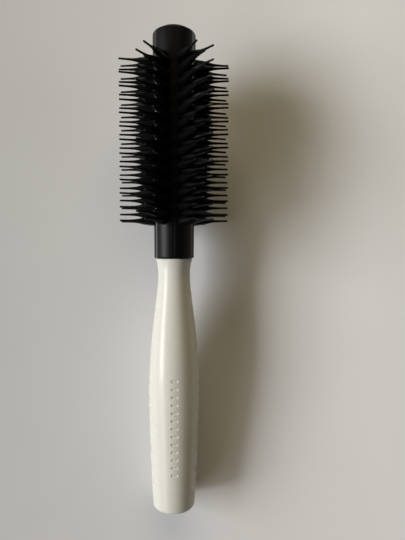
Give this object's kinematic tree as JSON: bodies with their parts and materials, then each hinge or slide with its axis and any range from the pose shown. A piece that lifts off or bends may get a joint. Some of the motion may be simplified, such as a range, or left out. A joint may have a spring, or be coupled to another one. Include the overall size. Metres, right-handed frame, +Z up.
{
  "type": "round barrel brush",
  "caption": "Round barrel hair brush with a black moulded bristle barrel, rows of tapered teeth, an end cap and a slim glossy white handle.",
  "frame": {"origin": "centre of the bounding box at table height, with the brush lying on two bristle tips and the heel of its handle", "axes": "+Y along the brush from the handle's heel towards the barrel's free end, seen from above; +X to the right; +Z up from the table. The brush's own axis leans up by 6.1 degrees towards +Y"},
  "size_m": [0.0588, 0.2518, 0.0634],
  "materials": {
    "bristle_black": "black moulded plastic, glossy barrel and satin teeth",
    "core_grey": "dark grey moulded plastic, unpolished",
    "handle_white": "warm white high-gloss plastic with faint handling marks",
    "spine_white": "unpigmented moulded plastic",
    "steel": "bright zinc plated",
    "brass": "turned brass"
  },
  "bodies": {
    "root": {"bristle_panel_1": "bristle_black", "bristle_panel_2": "bristle_black", "bristle_panel_3": "bristle_black", "bristle_panel_4": "bristle_black", "bristle_panel_5": "bristle_black", "bristle_panel_6": "bristle_black", "barrel_core": "core_grey", "barrel_end_cap": "bristle_black", "tie_screw": "steel", "screw_washer": "steel", "threaded_insert": "brass", "handle_skin": "handle_white", "handle_spine": "spine_white", "handle_end_plug": "handle_white"}
  },
  "joints": []
}
